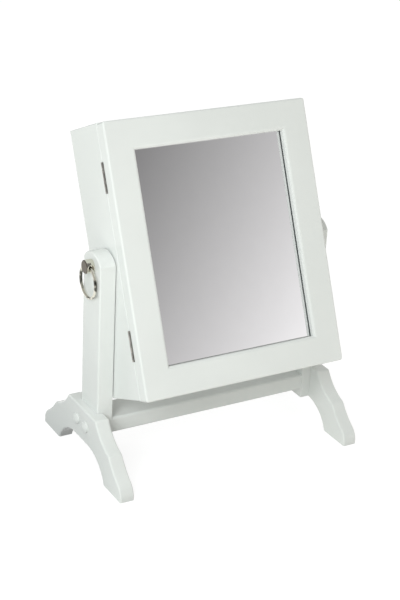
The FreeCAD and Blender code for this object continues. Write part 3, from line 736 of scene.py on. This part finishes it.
def ring_rolls(finishes):
    """Four velvet rolls side by side on the shelf. Rings are held in the furrows between them."""
    pitch = (inner_back_y - shelf_back_y - roll_gap) / roll_count
    radius = (pitch - roll_gap) / 2
    left, right = -inner_x + roll_gap, -board_thickness / 2 - roll_gap
    drawn_radius = radius * tenfold
    slack_share, seat_share, tuck_share, swell_share = 0.955, 0.93, 0.2, 0.05
    for index in range(roll_count):
        name = "velvet_ring_roll_%d" % (index + 1)
        slack = slack_roll((right - left) * tenfold, slack_share * radius * tenfold, pleat_turn * index)
        piece = new_piece(name, slack)
        lowest = [vertex.index for vertex in slack.vertices if vertex.co.z < -seat_share * drawn_radius]
        tucked = [vertex.index for vertex in slack.vertices
                  if math.hypot(vertex.co.y, vertex.co.z) < tuck_share * drawn_radius]
        stuffed(piece, lowest + tucked, swell_share * drawn_radius)
        smooth = piece.modifiers.new("smooth", "SUBSURF")
        smooth.levels = 1
        smooth.render_levels = 1
        depsgraph = bpy.context.evaluated_depsgraph_get()
        mesh = bpy.data.meshes.new_from_object(piece.evaluated_get(depsgraph))
        piece.modifiers.remove(smooth)
        roll_y = shelf_back_y + roll_gap + radius + index * pitch
        middle = Vector(((left + right) / 2, roll_y, shelf_z + radius))
        mesh.transform(Matrix.Translation(middle) @ Matrix.Scale(1 / tenfold, 4))
        for vertex in mesh.vertices:
            vertex.co.z = max(vertex.co.z, shelf_z + roll_lift)
        mesh.transform(lean)
        mesh.name = name
        mesh.materials.append(finishes["ring_velvet"])
        mesh.shade_smooth()
        piece.data = mesh
        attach(piece, "cabinet")
        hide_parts("ring_roll_%d" % (index + 1))


def set_camera():
    """Camera where the photograph was taken from."""
    place = (-0.73744, -1.23216, 0.81610)
    yaw, pitch, roll = (math.radians(angle) for angle in (30.616, -24.440, 3.026))
    forward = Vector((math.sin(yaw) * math.cos(pitch), math.cos(yaw) * math.cos(pitch), math.sin(pitch)))
    level = Vector((math.cos(yaw), -math.sin(yaw), 0))
    upright = level.cross(forward)
    right = math.cos(roll) * level + math.sin(roll) * upright
    up = math.cos(roll) * upright - math.sin(roll) * level
    data = bpy.data.cameras.new("camera")
    data.sensor_width = 36.0
    data.lens = 87.344
    data.clip_start = 0.01
    camera = bpy.data.objects.new("camera", data)
    bpy.context.scene.collection.objects.link(camera)
    turn = Matrix((right, up, -forward)).transposed().to_4x4()
    camera.matrix_world = Matrix.Translation(place) @ turn
    bpy.context.scene.camera = camera


def soft_lamp(name, place, target, size, power, colour):
    """Round lamp that lights the surfaces and doesn't show in the mirror."""
    data = bpy.data.lights.new(name, "AREA")
    data.shape = "DISK"
    data.size = size
    data.energy = power
    data.color = colour
    lamp = bpy.data.objects.new(name, data)
    bpy.context.scene.collection.objects.link(lamp)
    lamp.visible_glossy = False
    way = Vector(target) - Vector(place)
    lamp.matrix_world = Matrix.Translation(place) @ way.to_track_quat("-Z", "Y").to_matrix().to_4x4()


def set_light():
    """White room for the camera, soft light from the front, above and the left on the surfaces,
    and a grey to white sweep in reflections."""
    world = bpy.data.worlds.new("studio")
    world.use_nodes = True
    bpy.context.scene.world = world
    net = Net(world.node_tree)
    across, depth, height = net.split(net.add("ShaderNodeTexCoord", output="Generated"))
    front = net.clamped(-1 * depth)
    above = net.clamped(height)
    left = net.clamped(-1 * across)
    along_door = net.clamped(0.40 * depth + 0.92 * height)
    from_front = 0.26 * front * front
    from_above = 0.90 * above * above
    over_door = 0.40 * along_door * along_door * along_door * along_door
    even = net.mixed(0.5 * (from_front + from_above + over_door), black, (2.0, 2.0, 1.93, 1.0))
    even = net.mixed(0.37 * left * left, even, (0.80, 1.0, 1.0, 1.0))
    slope = across - height
    rise = net.clamped(4.05 * slope * slope + 1.49 * slope + 0.59 * across - 0.055, 0.16, 1.0)
    left_dimming = 1 - 0.45 * net.spread(-1 * across, -0.30, 0.40)
    top_dimming = 1 - 0.30 * net.spread(height, 0.5, 1.0)
    reflected = net.mixed(rise * left_dimming * top_dimming, black, (1.0, 0.985, 0.99, 1.0))
    lit = net.mixed(net.ray("Glossy"), even, reflected)
    shown = net.mixed(net.ray("Camera"), lit, (1.0, 1.0, 1.0, 1.0))
    room = net.add("ShaderNodeBackground", {}, {"Color": shown, "Strength": 1.0})
    net.add("ShaderNodeOutputWorld", {}, {"Surface": room})
    key_place, key_aim = (-0.9, -0.7, 0.7), (0.0, 0.0, 0.2)
    key_size, key_power = 0.6, 8.15
    soft_lamp("key", key_place, key_aim, key_size, key_power, (0.97, 1.0, 0.995))


def set_floor():
    """Pale floor that reads white to the camera and keeps a faint shadow. On the surfaces it throws up
    more light from the right, the front and behind, and little from the corner behind the left leg."""
    half_size = 4.0
    fade = 0.35
    corner_x, corner_y = -0.22, 0.10
    shape = bmesh.new()
    bmesh.ops.create_grid(shape, x_segments=8, y_segments=8, size=half_size)
    mesh = bpy.data.meshes.new("floor")
    shape.to_mesh(mesh)
    shape.free()
    material, net = new_finish("pale_floor")
    across, depth, _ = net.split(net.place())
    from_right = 0.55 * net.spread(across, 0.0, fade)
    from_front = 0.35 * net.spread(-1 * depth, 0.0, fade)
    from_behind = 0.56 * net.spread(depth, 0.0, fade)
    bounce = net.mixed(0.5 * (from_right + from_front + from_behind), black, (2.0, 1.96, 1.82, 1.0))
    beside, behind = across - corner_x, depth - corner_y
    clear = net.spread(beside * beside + behind * behind, 0.002, 0.05)
    plain = net.add("ShaderNodeBsdfDiffuse", {}, {
        "Color": net.mixed(clear, (0.08, 0.08, 0.08, 1.0), (0.61, 0.60, 0.575, 1.0))})
    thrown = net.add("ShaderNodeAddShader", {}, {
        0: plain, 1: net.add("ShaderNodeEmission", {}, {"Color": bounce})})
    pale = net.add("ShaderNodeBsdfDiffuse", {}, {"Color": (0.26, 0.26, 0.26, 1.0)})
    glow = net.add("ShaderNodeEmission", {}, {"Color": (1.0, 1.0, 1.0, 1.0), "Strength": 0.86})
    shown = net.add("ShaderNodeAddShader", {}, {0: pale, 1: glow})
    looked_at = net.clamped(net.ray("Camera") + net.ray("Glossy") + net.ray("Transmission"))
    either = net.add("ShaderNodeMixShader", {}, {0: looked_at, 1: thrown, 2: shown})
    net.add("ShaderNodeOutputMaterial", {}, {"Surface": either})
    mesh.materials.append(material)
    floor = new_piece("floor", mesh)


set_camera()
finishes = make_finishes()
dress_solids(finishes)
mirror_pane(finishes)
drive_screws(finishes)
pin_back_panel(finishes)
ring_rolls(finishes)
set_light()
set_floor()
bpy.context.scene.view_settings.view_transform = "Standard"
